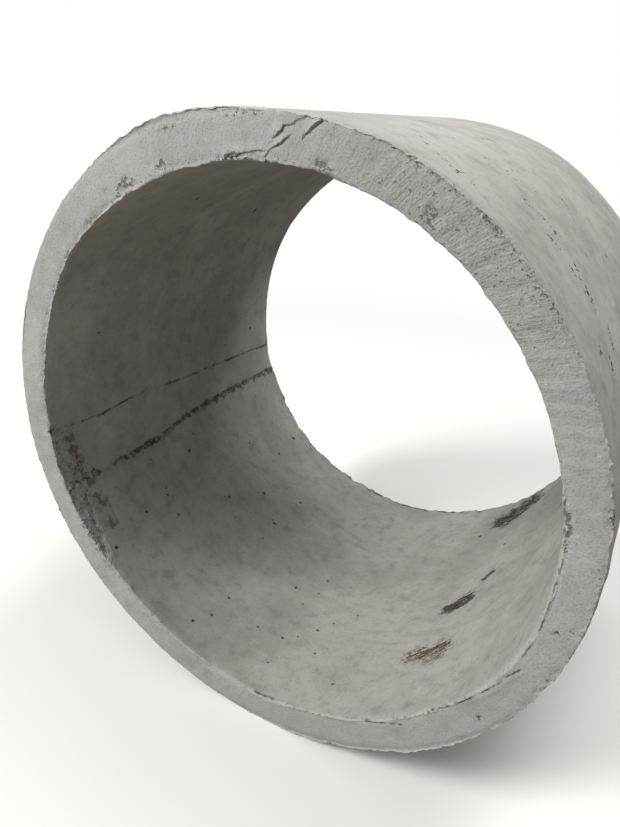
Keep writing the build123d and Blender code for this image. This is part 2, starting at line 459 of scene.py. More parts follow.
def add_wall_section(sizes):
    """Adds the outline of the wall above the bore, with rounded arrises, and leaves it in edit mode."""
    bpy.ops.object.select_all(action="DESELECT")
    bpy.ops.mesh.primitive_plane_add(size=wall, location=(0, 0, 0), enter_editmode=True)
    section = bpy.context.active_object
    bpy.ops.transform.rotate(value=math.pi / 2, orient_axis="Y", center_override=(0, 0, 0))
    bpy.ops.transform.resize(value=(1, ring_length / wall, 1), center_override=(0, 0, 0))
    bpy.ops.transform.translate(value=(0, 0, axis_height + bore_radius + wall / 2))

    near_line = near_end + sizes.rim_zone
    far_line = far_end - sizes.rim_zone
    for line in (near_line, far_line):
        bpy.ops.mesh.select_all(action="SELECT")
        bpy.ops.mesh.bisect(plane_co=(0, line, 0), plane_no=(0, 1, 0))

    bore_side = axis_height + bore_radius
    outer_side = axis_height + outer_radius
    close = 0.1 * MM

    def lies_at(line, a, b):
        return abs(a.y - line) < close and abs(b.y - line) < close

    corners = (
        (near_end, bore_side, sizes.bore_arris, 5),
        (near_end, outer_side, sizes.outer_arris, 3),
        (far_end, bore_side, sizes.outer_arris, 2),
        (far_end, outer_side, sizes.far_bevel, 2),
    )
    for end, side, radius, segments in corners:
        select_in_edit_mode(
            section, "VERT", lambda p: abs(p.y - end) < close and abs(p.z - side) < close)
        bpy.ops.mesh.bevel(offset=radius, segments=segments, affect="VERTICES")

    bpy.ops.mesh.select_mode(type="FACE")
    bpy.ops.mesh.select_all(action="SELECT")
    bpy.ops.mesh.delete(type="ONLY_FACE")
    select_in_edit_mode(
        section, "EDGE", lambda a, b: lies_at(near_line, a, b) or lies_at(far_line, a, b))
    bpy.ops.mesh.delete(type="EDGE")

    # shorter edges belong to the rounded arrises and stay as they are
    shortest = 20 * MM

    def on_bore(a, b):
        return max(a.z, b.z) < bore_side + close

    def on_outside(a, b):
        return min(a.z, b.z) > outer_side - close

    def spans(a, b, low, high):
        inside = low - close < min(a.y, b.y) and max(a.y, b.y) < high + close
        return inside and abs(a.y - b.y) > shortest

    def crosses_wall(a, b, end):
        return lies_at(end, a, b) and abs(a.z - b.z) > shortest

    # how often each stretch is cut along the ring, on the bore's side and outside
    stretches = (
        (near_end, near_line, 6, 5),
        (near_line, far_line, 43, 27),
        (far_line, far_end, 6, 4),
    )
    for low, high, bore_cuts, outer_cuts in stretches:
        cut_edges(section, bore_cuts, lambda a, b: on_bore(a, b) and spans(a, b, low, high))
        cut_edges(section, outer_cuts, lambda a, b: on_outside(a, b) and spans(a, b, low, high))
    for end, face_cuts in ((near_end, 17), (far_end, 8)):
        cut_edges(section, face_cuts, lambda a, b: crosses_wall(a, b, end))
    return section


def runs_round(a, b):
    """True for an edge that runs round the ring."""
    step_out = math.hypot(a.x, a.z - axis_height) - math.hypot(b.x, b.z - axis_height)
    return abs(step_out) < TOUCHING and abs(a.y - b.y) < TOUCHING


def face_middles(piece):
    """Middles of the faces in edit mode, one row each."""
    mesh = bmesh.from_edit_mesh(piece.data)
    return np.array([face.calc_center_median() for face in mesh.faces])


def select_faces(piece, wanted):
    """Selects the faces in edit mode for which wanted is true."""
    bpy.ops.mesh.select_mode(type="FACE")
    bpy.ops.mesh.select_all(action="DESELECT")
    mesh = bmesh.from_edit_mesh(piece.data)
    for face, chosen in zip(mesh.faces, wanted):
        face.select_set(bool(chosen))
    bmesh.update_edit_mesh(piece.data)


def add_plain_ring(sizes):
    """Turns the wall section about the bore's axis, with a finer mesh at the rims, seams and laps."""
    ring = add_wall_section(sizes)
    bpy.ops.mesh.select_all(action="SELECT")
    bpy.ops.mesh.spin(steps=sizes.steps, angle=2 * math.pi, center=(0, 0, axis_height), axis=(0, 1, 0))
    bpy.ops.mesh.select_all(action="SELECT")
    bpy.ops.mesh.remove_doubles(threshold=TOUCHING)
    bpy.ops.mesh.normals_make_consistent(inside=False)

    # the rims are cut only across, so that their rounded arrises keep their section
    near_rim = near_end + sizes.rim_zone * 0.75
    far_rim = far_end - sizes.rim_zone * 0.6
    cut_edges(ring, 3, lambda a, b: a.y < near_rim and runs_round(a, b))
    cut_edges(ring, 1, lambda a, b: a.y > far_rim and runs_round(a, b))

    # finer squares on the bore's wall along the seams and scars, and at the broken arris
    seam_reach = 15 * MM
    scar_reach = 24 * MM
    break_reach = 80 * MM
    middles = Places(face_middles(ring))
    on_wall = (middles.radius < bore_radius + MM) & (middles.along > sizes.rim_zone * 0.7)
    on_wall &= middles.along < ring_length - sizes.rim_zone * 0.6
    finer = (middles.along < break_reach) & (middles.angle > broken_edge[0][0] - 1)
    finer &= middles.angle < broken_edge[-1][0] + 1
    torn_lines = [(upper_seam, seam_reach), (lower_seam, seam_reach)]
    torn_lines += [(path, scar_reach) for *_, path in scars]
    for path, reach in torn_lines:
        distance, _ = middles.from_line(path)
        finer |= distance < reach
    select_faces(ring, on_wall & finer)
    bpy.ops.mesh.subdivide(number_cuts=4)

    # and on the near face along its high laps
    lap_reach = 5 * MM
    middles = Places(face_middles(ring))
    near_lap = np.zeros_like(middles.angle, bool)
    for *_, path in laps[:4]:
        distance, _ = middles.from_line(path, on_face=True)
        near_lap |= distance < lap_reach
    select_faces(ring, near_lap & (middles.along < 2 * MM))
    bpy.ops.mesh.subdivide(number_cuts=2)
    bpy.ops.object.mode_set(mode="OBJECT")
    return ring


def read_points(piece, what="vertices", value="co"):
    """Coordinates or normals of a mesh, one row each."""
    rows = np.zeros(len(getattr(piece.data, what)) * 3)
    getattr(piece.data, what).foreach_get(value, rows)
    return rows.reshape(-1, 3)


def crumbly_share(places):
    """How crumbly the near face is from 0 to 1, with ragged edges."""
    ragged = 0.5 * grain(places.points, 10 * MM, 28, 2)
    share = np.zeros_like(places.angle)
    for *patch, crumbly in crumbly_places:
        share = np.maximum(share, crumbly * drop(0.75, 1.15, places.from_patch(*patch) + ragged))
    return share * drop(8 * MM, 14 * MM, places.along)


def stroke_turn(places):
    """Where the brush's stroke through each point meets the bore, in radians from the strokes' start."""
    outwards = (places.radius - bore_radius) / bore_radius
    return np.radians(turn_between(places.angle, stroke_start)) - stroke_slant * outwards


def lap_edge(places, path):
    """Distance from a lap's line, and from its ragged edge: positive where the mortar is thick."""
    away, side = places.from_line(path, on_face=True)
    return away, away * side + 1.4 * MM * grain(places.points, 6 * MM, 31, 2)


def face_relief(places, wear):
    """Depth of the near face under the plane of its highest laps."""
    spot = places.points
    depth = np.full_like(places.angle, wear.face_skin)
    depth += 1.6 * MM * grain(spot, 80 * MM, 11, 2)
    depth += 0.5 * MM * grain(spot, 24 * MM, 15, 2)

    # sandy mortar right of the top, dragged aslant towards the bore by the brush
    sandy = places.beside(42, 52)
    stroke_width, stroke_length = 10 * MM, 70 * MM
    slant = stroke_turn(places) + math.radians(stroke_start)
    across_x, across_y = np.sin(slant) * bore_radius, np.cos(slant) * bore_radius
    strokes = np.column_stack(
        (across_x / stroke_width, across_y / stroke_width, places.radius / stroke_length))
    depth += (0.3 + 0.9 * sandy) * MM * lattice_noise(strokes, 21)
    depth += 0.15 * MM * sandy * grain(spot, 9 * MM, 25)
    crumbs = np.clip(0.5 + 0.9 * grain(spot, 9 * MM, 27, 2), 0, 1)
    depth += 3.0 * MM * crumbly_share(places) * crumbs

    patchy = np.clip(0.75 + 0.6 * grain(spot, 20 * MM, 35), 0, 1)
    for height, thins_out, _, path in laps:
        away, edge = lap_edge(places, path)
        full = height * patchy * MM
        depth -= full * rise(-0.3 * MM, 1.5 * MM, edge) * fade(away / (thins_out * MM))
        depth += 0.5 * full * drop(-1.0 * MM, 0.3 * MM, edge) * fade(away / (7 * MM))
    ragged = 0.35 * grain(spot, 5 * MM, 37)
    for *patch, pit_depth in face_pits:
        depth += pit_depth * MM * fade(places.from_patch(*patch) + ragged)
    return depth


def scar_share(places, red=False):
    """How torn the bore's wall is from 0 to 1, or how red the torn mortar is."""
    streaks = places.points - 0.72 * np.outer(places.points @ np.array(torn_way), torn_way)
    ragged = 0.45 * grain(streaks, 14 * MM, 61, 3)
    share = np.zeros_like(places.angle)
    for half_width, torn, rusty, path in scars:
        away, _ = places.from_line(path)
        cover = drop(0.1, 1.25, away / MM / half_width + ragged)
        share = np.maximum(share, (rusty if red else torn) * cover)
    return share


def broken_share(places):
    """How broken the arris at the strip's near end is from 0 to 1."""
    angles, reaches = zip(*broken_edge)
    reach = np.interp(places.angle, angles, reaches) * MM
    ragged = places.along - reach + 9 * MM * grain(places.points, 22 * MM, 127, 3)
    inside = drop(-7 * MM, 9 * MM, ragged) * (reach > 0)
    inside *= drop(bore_radius + 8 * MM, bore_radius + 22 * MM, places.radius)
    return inside * rise(0, 6 * MM, reach)


def chipped_share(places):
    """How far the low arris of the far end is chipped away, from 0 to 1."""
    spot = places.points
    away = places.from_arris(bore_radius, far_end) + 4 * MM * grain(spot, 9 * MM, 133, 2)
    patches = rise(-0.1, 0.2, grain(spot, 26 * MM, 131, 2))
    return patches * drop(10 * MM, 30 * MM, away) * places.beside(190, 80) ** 0.5


def bore_relief(places, wear):
    """Depth of the marks in the bore's wall."""
    spot = places.points
    upper_away, upper_side = places.from_line(upper_seam)
    lower_away, lower_side = places.from_line(lower_seam)
    joint_away, _ = places.from_line(joint_seam)
    above_lower = rise(-2 * MM, 3 * MM, lower_away * lower_side)
    below_upper = drop(-2 * MM, 2 * MM, upper_away * upper_side)

    depth = 0.9 * MM * grain(spot, 160 * MM, 41, 2) + 0.25 * MM * grain(spot, 30 * MM, 45)
    depth += wear.key_recess * above_lower * below_upper
    ragged = np.clip(0.8 + 1.1 * grain(spot, 12 * MM, 51, 2), 0, 2)
    busy = 0.5 + 0.5 * rise(120 * MM, 220 * MM, places.along) * drop(620 * MM, 720 * MM, places.along)
    depth += wear.seam_depth * busy * ragged * fade(lower_away / (12 * MM))
    upper_ragged = np.clip(0.4 + grain(spot, 20 * MM, 55), 0, 2)
    depth += 2.0 * MM * upper_ragged * fade(upper_away / (4 * MM))
    depth += 0.4 * MM * fade(joint_away / (3 * MM))
    depth += broken_share(places) * MM * (2.4 + 1.6 * grain(spot, 20 * MM, 57, 3))
    fibres = 1 + 0.6 * grain(spot * (1, 0.3, 1), 5 * MM, 65)
    depth += wear.scar_depth * scar_share(places) * fibres
    return depth


def outer_relief(places):
    """Depth of the unevenness of the outer wall."""
    spot = places.points
    return 0.6 * MM + 0.8 * MM * grain(spot, 180 * MM, 71, 2) + 0.2 * MM * grain(spot, 35 * MM, 75)


def shape_by_hand(ring, wear):
    """Moves the points of the plain ring: out of round, worn arrises, trowelled face, seams and scars."""
    points = read_points(ring)
    normals = read_points(ring, "vertex_normals", "vector")
    places = Places(points)
    toward = np.column_stack((places.across, np.zeros(len(points)), places.up)) / places.radius[:, None]

    # out of round, shared out over the wall and along the ring
    outer_share = np.clip((places.radius - bore_radius) / wall, 0, 1)
    far_share = np.clip(places.along / ring_length, 0, 1)
    near_shift = places.swell(near_bore_swells) * (1 - outer_share)
    near_shift += places.swell(near_outer_swells) * outer_share
    far_shift = places.swell(far_bore_swells) * (1 - outer_share)
    far_shift += places.swell(far_outer_swells) * outer_share
    shift = near_shift * (1 - far_share) + far_shift * far_share

    # worn arrises of the bore
    bitten = 1 + 0.35 * grain(points, 22 * MM, 81, 2)
    worn_ends = ((bore_arris_wear, places.along), (far_arris_wear, ring_length - places.along))
    for wears, from_end in worn_ends:
        for middle, spread, on_face, reach in wears:
            amount = on_face * MM * places.beside(middle, spread) * bitten
            taper = np.clip(1 - np.maximum(from_end, 0) / (reach * MM), 0, 1) ** 1.3
            shift += amount * taper * (1 - outer_share) ** 1.5
    wavy = 1.6 * MM * grain(points, 34 * MM, 85, 2)
    shift += wavy * fade(places.along / (90 * MM)) * (1 - 2 * outer_share)

    # teeth of grit along the arrises
    teeth = np.clip(grain(points, 8 * MM, 87, 2), -0.3, 1.2)
    far_teeth = np.clip(grain(points, 16 * MM, 89, 2), 0, 1)
    at_outer = bell(places.from_arris(outer_radius, near_end) / (7 * MM))
    at_bore = bell(places.from_arris(bore_radius, near_end) / (7 * MM))
    at_far_bore = bell(places.from_arris(bore_radius, far_end) / (10 * MM))
    shift -= MM * teeth * at_outer * (2.5 + 2.5 * places.beside(75, 75))
    shift += MM * teeth * at_bore * (1.5 + 2.0 * places.beside(15, 60))
    shift += 5 * MM * far_teeth * at_far_bore * places.beside(200, 90)

    # each side of the wall has its own relief, and they blend round the arrises
    across_share = -np.sum(normals * toward, axis=1)
    on_bore = np.clip(across_share, 0, 1) ** 2
    on_outside = np.clip(-across_share, 0, 1) ** 2
    on_near = np.clip(-normals[:, 1], 0, 1) ** 2
    on_far = np.clip(normals[:, 1], 0, 1) ** 2
    far_depth = 1.2 * MM + 1.0 * MM * grain(points, 40 * MM, 91, 3)
    depth = on_bore * bore_relief(places, wear) + on_outside * outer_relief(places)
    depth += on_near * face_relief(places, wear) + on_far * far_depth
    depth += 6 * MM * (on_bore + on_far) * chipped_share(places)

    points = points + toward * shift[:, None] - normals * depth[:, None]
    ring.data.vertices.foreach_set("co", points.ravel())
    ring.data.update()


def keep_inside_frame(ring):
    """Presses flat what would stand out of the frame's box, so that the ring rests on the ground."""
    points = read_points(ring)
    points = np.clip(points, np.array(cad_low), np.array(cad_high))
    ring.data.vertices.foreach_set("co", points.ravel())
    ring.data.update()


def weigh(ring, name, weights):
    """Fills a vertex group from one weight for each vertex."""
    group = ring.vertex_groups.new(name=name)
    for index in np.flatnonzero(weights > 0.01):
        group.add([int(index)], float(weights[index]), "REPLACE")


def roughen(ring, name, weights, kind, size, depth, **settings):
    """Displaces the weighted part of the ring by a texture, inwards from its highest points."""
    weigh(ring, name, weights)
    texture = bpy.data.textures.new(name, type=kind)
    texture.noise_scale = size
    for setting, value in settings.items():
        setattr(texture, setting, value)
    displace = ring.modifiers.new(name, "DISPLACE")
    displace.texture = texture
    displace.texture_coords = "LOCAL"
    displace.vertex_group = name
    displace.mid_level = 0
    displace.strength = -depth
    bpy.ops.object.modifier_apply(modifier=displace.name)


def crumble(ring, wear):
    """Crumbles the arrises and lays the sand bare where they are broken."""
    places = Places(read_points(ring))
    patchy = 0.55 + 0.45 * grain(places.points, 60 * MM, 101, 2)
    coarse = 0.45 + 0.55 * places.beside(58, 75)
    outer_band = bell(places.from_arris(outer_radius, near_end) / ((5 + 4 * coarse) * MM))
    outer_band *= (0.4 + 0.5 * coarse) * (0.5 + 0.5 * patchy)
    bore_band = 0.7 * np.clip(patchy, 0.15, 1) * bell(places.from_arris(bore_radius, near_end) / (9 * MM))
    broken = 0.3 * broken_share(places)
    far_band = bell(places.from_arris(bore_radius, far_end) / (9 * MM))
    far_band *= 0.3 + 0.7 * places.beside(240, 40)
    far_outer_band = 0.5 * bell(places.from_arris(outer_radius, far_end) / (7 * MM)) * patchy
    arrises = np.maximum.reduce([outer_band, bore_band, broken, far_band, far_outer_band])
    arrises = np.clip(arrises, 0, 1)
    roughen(ring, "crumbs", arrises, "VORONOI", 12 * MM, wear.crumb_depth)
    roughen(ring, "grit", arrises, "CLOUDS", 6 * MM, 0.6 * wear.crumb_depth, noise_depth=2)


def pocket_rays(wear, draw):
    """Rays that meet the ring where pockets open: ring angle, start, direction, and width in mm."""
    def from_wall(radius, angle, along, width):
        outwards = Vector((math.sin(math.radians(angle)), 0, math.cos(math.radians(angle))))
        level = Vector((0, near_end + along * MM, axis_height))
        if radius == bore_radius:
            return angle, level + outwards * 0.5 * bore_radius, outwards, width
        return angle, level + outwards * 1.5 * outer_radius, -outwards, width

    rays = [from_wall(bore_radius, angle, along, 1.3 * width) for angle, along, width in bore_pockets]

    # on the outer wall each is the largest of a small cluster
    for angle, along, width in outer_pockets:
        rays.append(from_wall(outer_radius, angle, along, 0.8 * width))
        for third in range(3):
            way = 2 * math.pi / 3 * (third + draw.random())
            away = draw.uniform(1.0, 1.4) * width
            turn = math.degrees(math.sin(way) * away * MM / outer_radius)
            place = angle + turn, along + math.cos(way) * away
            rays.append(from_wall(outer_radius, *place, draw.uniform(0.35, 0.55) * width))

    # they are strewn over the outer wall and the part of the bore that face away
    for _ in range(wear.pocket_count):
        place = draw.uniform(92, 355), draw.uniform(40, 960)
        rays.append(from_wall(outer_radius, *place, 3 + 7 * draw.random() ** 2))
    for _ in range(wear.pocket_count // 2):
        place = draw.uniform(-6, 120), draw.uniform(60, 940)
        rays.append(from_wall(bore_radius, *place, 3 + 4 * draw.random() ** 2))
    return rays


def open_pockets(ring, wear):
    """Cuts the air pockets out of the ring and marks their walls for painted shade. None meets another."""
    draw = np.random.default_rng(7)
    found = []
    for angle, start, direction, width in pocket_rays(wear, draw):
        hit, place, _, _ = ring.ray_cast(start, direction)
        if not hit:
            continue
        middle = place - direction * 0.1 * width * MM
        if all((middle - other).length > 0.75 * (width + wide) * MM for _, other, wide in found):
            found.append((angle, middle, width))
    bpy.ops.object.select_all(action="DESELECT")
    for angle, middle, width in found:
        bpy.ops.mesh.primitive_ico_sphere_add(
            subdivisions=2 if width > 5 else 1, radius=0.6 * width * MM, location=middle,
            rotation=(0, math.radians(angle), 0),
            scale=(draw.uniform(0.9, 1.25), draw.uniform(0.8, 1.1), 1.0))
        if bpy.context.mode == "OBJECT":
            bpy.ops.object.transform_apply()
            bpy.ops.object.mode_set(mode="EDIT")
    bpy.ops.object.mode_set(mode="OBJECT")
    pockets = bpy.context.active_object
    # the walls of the air pockets get painted shade
    store(pockets, "pocket", np.ones(len(pockets.data.polygons)), "FACE")
    store(ring, "pocket", np.zeros(len(ring.data.polygons)), "FACE")

    bpy.context.view_layer.objects.active = ring
    cut = ring.modifiers.new("pockets", "BOOLEAN")
    cut.operation = "DIFFERENCE"
    cut.solver = "MANIFOLD"
    cut.object = pockets
    bpy.ops.object.modifier_apply(modifier=cut.name)
    bpy.data.objects.remove(pockets)


def store(piece, name, values, domain="POINT"):
    """Keeps one number for each point or face, for the concrete's pattern."""
    attribute = piece.data.attributes.new(name, "FLOAT", domain)
    attribute.data.foreach_set("value", np.asarray(values, np.float32))


def mark_for_concrete(ring):
    """Stores, as shares from 0 to 1, where each finish of the concrete shows, and where painted shade
    goes.
    """
    places = Places(read_points(ring))
    spot = places.points
    in_bore = drop(bore_radius + 8 * MM, bore_radius + 14 * MM, places.radius)
    on_face = drop(6 * MM, 14 * MM, places.along)
    store(ring, "anywhere", np.ones_like(places.angle))
    store(ring, "wall", 1 - on_face)
    store(ring, "face", on_face)

    # stained mortar in the seams and scars
    lower, _ = places.from_line(lower_seam)
    lower = np.maximum(lower + 7 * MM * grain(spot, 14 * MM, 111, 3), 0)
    upper, _ = places.from_line(upper_seam)
    upper = np.maximum(upper + 1.5 * MM * grain(spot, 10 * MM, 115), 0)
    dashes = 0.3 + 0.7 * rise(-0.25, 0.3, grain(spot, 28 * MM, 117, 2))
    lower_mark = fade(lower / (17 * MM)) * np.clip(0.7 + 0.4 * grain(spot, 50 * MM, 119), 0, 1)
    lower_mark *= 0.5 + 0.5 * rise(90 * MM, 200 * MM, places.along)
    seams = np.maximum(lower_mark, dashes * fade(upper / (7 * MM)))
    store(ring, "seams", in_bore * np.clip(seams, 0, 1))
    store(ring, "scars", in_bore * scar_share(places))

    # red earth, damp that stays in the broken place, and painted shade along its rim
    earth = places.covered(earth_spots, 5 * MM * grain(spot, 12 * MM, 121, 2))
    store(ring, "earth", in_bore * np.maximum(earth, scar_share(places, red=True)))
    broken = broken_share(places)
    # painted shade along the rim of the broken place, where it steps down
    rim_shade = 4 * broken * (1 - broken) * places.beside(251, 16)
    smears = places.covered(dark_smears, 7 * MM * grain(spot, 14 * MM, 123, 3))
    store(ring, "damp", in_bore * np.maximum(smears, rim_shade))

    # painted shadow lines at the feet of the laps
    lap_lines = np.zeros_like(places.angle)
    gaps = rise(-0.5, 0.2, grain(spot, 16 * MM, 125))
    for *_, dark, path in laps:
        _, edge = lap_edge(places, path)
        line = dark * rise(-3.0 * MM, -0.8 * MM, edge) * drop(-0.6 * MM, 1.4 * MM, edge)
        lap_lines = np.maximum(lap_lines, line * gaps)
    store(ring, "lap_lines", on_face * lap_lines)

    # bare sand along the arrises, and in the crumbly and chipped places
    sandy = places.beside(34, 42) * drop(10 * MM, 30 * MM, places.along)
    patchy = np.clip(0.6 + 0.8 * grain(spot, 45 * MM, 129, 2), 0, 1)
    coarse = places.beside(40, 40)
    outer_band = fade(places.from_arris(outer_radius, near_end) / ((8 + 16 * coarse) * MM))
    bore_band = fade(places.from_arris(bore_radius, near_end) / (14 * MM))
    far_band = fade(places.from_arris(bore_radius, far_end) / (22 * MM)) * places.beside(190, 90)
    pitted = np.maximum.reduce([
        0.25 * sandy,
        (0.15 + 0.6 * coarse) * patchy * outer_band,
        0.7 * patchy * bore_band,
        0.9 * patchy * far_band,
        0.85 * crumbly_share(places),
        0.25 * broken,
    ])
    store(ring, "pitted", pitted)
    store(ring, "chipped", chipped_share(places))
    store(ring, "broken", broken)
    store(ring, "sandy", sandy)

    # place along and across the brush's strokes
    store(ring, "across_strokes", stroke_turn(places) * bore_radius)
    store(ring, "along_strokes", places.radius)


def add_node(tree, kind, inputs=None, **settings):
    """Adds a node with its settings. Each input is a value, or the output that it is joined to."""
    node = tree.nodes.new(kind)
    for name, value in settings.items():
        setattr(node, name, value)
    for socket, value in (inputs or {}).items():
        if isinstance(value, bpy.types.NodeSocket):
            tree.links.new(value, node.inputs[socket])
        else:
            node.inputs[socket].default_value = value
    return node


def empty_tree(owner):
    """Node tree of a material or world, without the nodes that it starts with."""
    owner.use_nodes = True
    owner.node_tree.nodes.clear()
    return owner.node_tree


def linear(hex_colour):
    """Linear RGBA of an sRGB hex colour."""
    shares = [int(hex_colour[start:start + 2], 16) / 255 for start in (0, 2, 4)]
    return [c / 12.92 if c <= 0.04045 else ((c + 0.055) / 1.055) ** 2.4 for c in shares] + [1.0]


def cast_concrete(colours):
    """Cast concrete: walls smooth from steel moulds, one trowelled and brushed end, and sand laid bare
    where it is broken.

    The paste is dull, so nothing glints, and its colour drifts in soft clouds. The walls keep the mould's
    faint smears and small holes, and the sand shows where the skin is gone. Painted shade darkens the
    dents of the pits, the air pockets, the chips, the feet of the laps and the rim of the broken arris.
    """
    material = bpy.data.materials.new("cast_concrete")
    tree = empty_tree(material)
    place = add_node(tree, "ShaderNodeTexCoord").outputs["Object"]
    stored = (
        "anywhere", "wall", "face", "seams", "scars", "earth", "damp", "lap_lines", "sandy", "broken",
        "pitted", "chipped", "pocket", "across_strokes", "along_strokes",
    )
    marks = {}
    for name in stored:
        marks[name] = add_node(tree, "ShaderNodeAttribute", attribute_name=name).outputs["Fac"]
    brushed = add_node(tree, "ShaderNodeCombineXYZ", {
        "X": marks["across_strokes"], "Y": marks["along_strokes"]}).outputs[0]

    # Lumps of each pattern: on what they lie, size in mm, detail, roughness, how far they are drawn out
    # along X, Y and Z, and their turn. Real sand has grains of 0.5 to 4 mm, and all are drawn as coarse
    # ones so that they show.
    straight = (0, 0, 0)
    along_tears = torn_way.to_track_quat("X", "Z").to_euler()
    lumps = {
        "clouds": (place, 240, 5, 0.6, (1, 1, 1), straight),
        "mottles": (place, 45, 5, 0.65, (1, 1, 1), straight),
        "blotches": (place, 16, 5, 0.7, (1, 1, 1), straight),
        "smears": (place, 34, 4, 0.6, (7, 1, 7), straight),
        "runs": (place, 6, 4, 0.65, (5, 1, 1), along_tears),
        "grit": (place, 4, 2, 0.6, (1, 1, 1), straight),
        "pits": (place, 8, 3, 0.6, (1, 1, 1), straight),
        "strokes": (brushed, 7, 4, 0.7, (1, 8, 1), straight),
    }
    patterns = {}
    for name, (base, size, detail, roughness, drawn_out, turned) in lumps.items():
        where = add_node(tree, "ShaderNodeMapping", {
            "Vector": base, "Scale": drawn_out, "Rotation": turned,
        }, vector_type="TEXTURE").outputs["Vector"]
        patterns[name] = add_node(tree, "ShaderNodeTexNoise", {
            "Vector": where, "Scale": 1 / (size * MM), "Detail": detail, "Roughness": roughness,
        }).outputs["Fac"]

    # Some marks fray out at their rims: they show where their pattern is high, and more of it towards
    # their middle. Each has its place, its pattern, how far the place lifts the pattern, and the values at
    # which it starts and is full.
    frayed = {
        # dents of the pits, which also get painted shade
        "pits": ("pitted", "pits", 0.25, 0.69, 0.75),
        "torn": ("scars", "runs", 0.17, 0.53, 0.63),
        "rust": ("earth", "pits", 0.30, 0.57, 0.75),
        "grime": ("seams", "blotches", 0.34, 0.62, 0.74),
        "smudges_and_rim_shade": ("damp", "blotches", 0.30, 0.58, 0.80),
        # painted shade in the chips of the far arris
        "chip_shade": ("chipped", "blotches", 0.40, 0.66, 0.78),
    }
    for name, (where, pattern, lift, start, full) in frayed.items():
        lifted = add_node(tree, "ShaderNodeMath", {
            0: marks[where], 1: lift, 2: patterns[pattern]}, operation="MULTIPLY_ADD").outputs[0]
        cover = add_node(tree, "ShaderNodeMapRange", {
            "Value": lifted, "From Min": start, "From Max": full,
        }, interpolation_type="SMOOTHSTEP").outputs["Result"]
        near = add_node(tree, "ShaderNodeMapRange", {
            "Value": marks[where], "From Max": 0.25}).outputs["Result"]
        marks[name] = add_node(tree, "ShaderNodeMath", {
            0: cover, 1: near}, operation="MULTIPLY").outputs[0]

    # Layers of colour over the paste: where, its pattern, the pattern's values at which it starts and is
    # full, its largest share, and its colour
    layers = [
        ("anywhere", "clouds", 0.62, 0.38, 0.8, colours.paste_dark),
        ("wall", "smears", 0.50, 0.72, 0.5, colours.paste_dark),
        ("wall", "mottles", 0.52, 0.72, 0.35, colours.paste_light),
        ("wall", "mottles", 0.50, 0.30, 0.45, colours.soiled),
        ("wall", "blotches", 0.48, 0.70, 0.22, colours.soiled),
        ("face", "mottles", 0.80, 0.30, 0.9, colours.face),
        ("sandy", "blotches", 0.20, 0.60, 0.7, colours.sand),
        ("broken", "mottles", 0.30, 0.60, 0.8, colours.weathered),
        ("broken", "blotches", 0.46, 0.34, 0.7, colours.paste_light),
        ("broken", "blotches", 0.50, 0.62, 0.45, colours.dark_grit_and_shade),
        ("anywhere", "blotches", 0.56, 0.74, 0.22, colours.paste_dark),
        ("anywhere", "grit", 0.54, 0.70, 0.16, colours.dark_grit_and_shade),
        ("face", "mottles", 0.52, 0.72, 0.30, colours.paste_dark),
        ("face", "blotches", 0.46, 0.30, 0.35, colours.paste_light),
        ("face", "grit", 0.46, 0.68, 0.13, colours.dark_grit_and_shade),
        ("face", "strokes", 0.50, 0.72, 0.10, colours.dark_grit_and_shade),
        ("sandy", "strokes", 0.50, 0.72, 0.22, colours.dark_grit_and_shade),
        ("pitted", "grit", 0.50, 0.72, 0.4, colours.dark_grit_and_shade),
        # damp smears, and painted shade along the rim of the broken place
        ("smudges_and_rim_shade", "mottles", 0.0, 0.1, 0.55, colours.stain_and_shade),
        ("seams", "blotches", 0.30, 0.60, 0.45, colours.stain_and_shade),
        ("grime", "grit", 0.20, 0.50, 0.6, colours.stain_and_shade),
        # painted shade in the chips of the far arris
        ("chip_shade", "grit", 0.20, 0.50, 0.75, colours.stain_and_shade),
        ("torn", "grit", 0.15, 0.50, 0.95, colours.stain_and_shade),
        ("rust", "grit", 0.30, 0.62, 0.85, colours.earth),
        # painted shadow lines at the feet of the laps
        ("lap_lines", "blotches", 0.20, 0.40, 1.0, colours.stain_and_shade),
        # painted shade in the dents of the pits
        ("pits", "mottles", 0.0, 0.1, 0.6, colours.dark_grit_and_shade),
        # painted shade on the walls of the air pockets
        ("pocket", "mottles", 0.0, 0.1, 0.8, colours.dark_grit_and_shade),
    ]
    colour = linear(colours.paste)
    for where, pattern, start, full, most, hex_colour in layers:
        strength = add_node(tree, "ShaderNodeMapRange", {
            "Value": patterns[pattern], "From Min": start, "From Max": full, "To Max": most,
        }, interpolation_type="SMOOTHSTEP").outputs["Result"]
        share = add_node(tree, "ShaderNodeMath", {
            0: marks[where], 1: strength}, operation="MULTIPLY").outputs[0]
        colour = add_node(tree, "ShaderNodeMix", {
            "Factor": share, 6: colour, 7: linear(hex_colour)}, data_type="RGBA").outputs[2]

    # Relief: where, its pattern, and the height in mm from the pattern's lowest to its highest value
    reliefs = [
        ("anywhere", "blotches", 0.4),
        ("anywhere", "grit", 0.3),
        ("face", "blotches", 0.3),
        ("face", "grit", 0.4),
        ("face", "strokes", 0.3),
        ("sandy", "strokes", 2.0),
        ("sandy", "grit", 0.3),
        ("pitted", "grit", 1.6),
        ("broken", "blotches", 3.0),
        ("broken", "grit", 1.2),
        ("torn", "runs", 5.0),
        ("grime", "blotches", 3.0),
        ("pits", "mottles", -4.0),
    ]
    relief = 0.0
    for where, pattern, height in reliefs:
        lump = add_node(tree, "ShaderNodeMath", {
            0: marks[where], 1: patterns[pattern]}, operation="MULTIPLY").outputs[0]
        relief = add_node(tree, "ShaderNodeMath", {
            0: lump, 1: height, 2: relief}, operation="MULTIPLY_ADD").outputs[0]
    bump = add_node(tree, "ShaderNodeBump", {"Height": relief, "Distance": MM}).outputs["Normal"]

